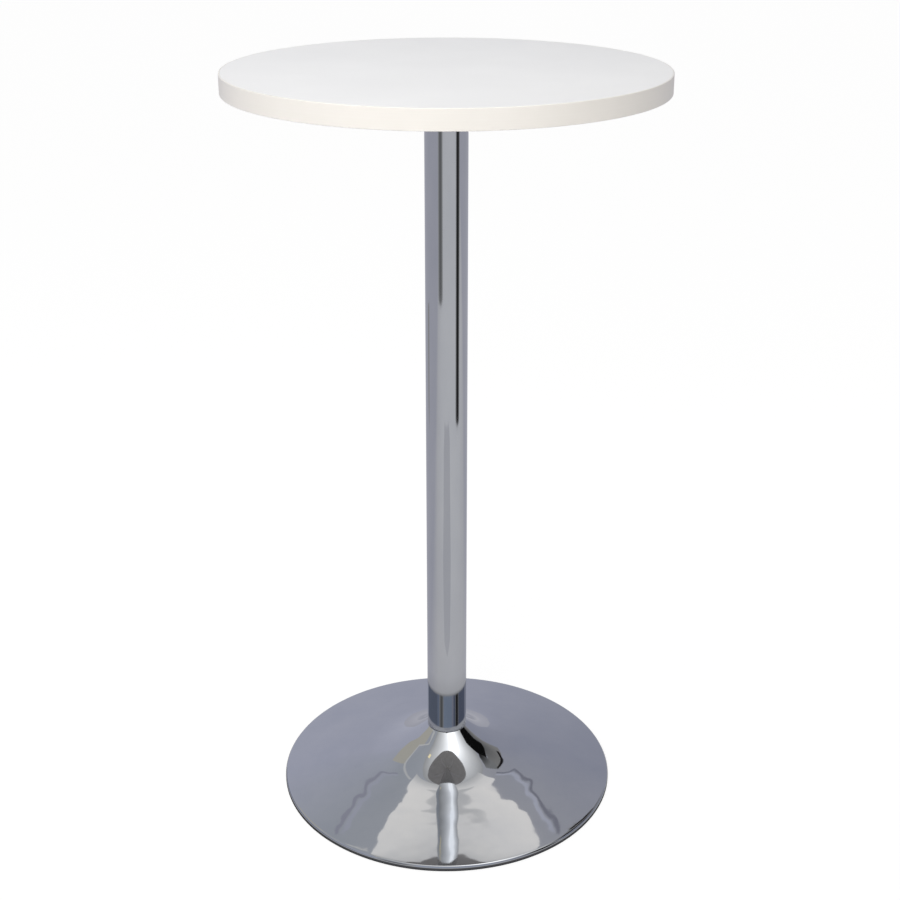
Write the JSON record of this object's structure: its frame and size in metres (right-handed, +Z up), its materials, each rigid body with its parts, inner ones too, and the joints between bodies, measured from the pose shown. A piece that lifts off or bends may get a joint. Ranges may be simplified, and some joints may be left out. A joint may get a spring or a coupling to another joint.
{
  "type": "bistro table",
  "caption": "Bar-height round cafe table: white laminated top on a plain chrome column and a trumpet-shaped chrome base.",
  "frame": {"origin": "on the floor, under the middle of the column", "axes": "+Z up along the column, -Y towards the front, +X to the right"},
  "size_m": [0.6, 0.6, 1.1],
  "materials": {
    "board": "raw particleboard",
    "laminate": "white decorative laminate, satin",
    "edge_plastic": "cream-white ABS edge strip",
    "grey_paint": "grey powder coat, fine texture",
    "chrome": "bright chrome plate on steel",
    "zinc": "bright zinc plate",
    "ballast_iron": "sand cast, dark dip",
    "floor_rubber": "soft black moulded ring"
  },
  "bodies": {
    "root": {"top_core": "board", "top_laminate": "laminate", "backing_laminate": "laminate", "edge_band": "edge_plastic", "spider_hub": "grey_paint", "spider_arm_1": "grey_paint", "spider_arm_2": "grey_paint", "spider_arm_3": "grey_paint", "spider_arm_4": "grey_paint", "wood_screw_1": "zinc", "wood_screw_2": "zinc", "wood_screw_3": "zinc", "wood_screw_4": "zinc", "wood_screw_5": "zinc", "wood_screw_6": "zinc", "wood_screw_7": "zinc", "wood_screw_8": "zinc", "column_tube": "chrome", "column_foot_plug": "zinc", "tie_rod": "zinc", "top_washer": "zinc", "top_nut": "zinc", "base_cover": "chrome", "support_tube": "zinc", "ballast": "ballast_iron", "clamp_washer": "zinc", "spring_washer": "zinc", "bottom_nut": "zinc", "floor_ring": "floor_rubber"}
  },
  "joints": []
}
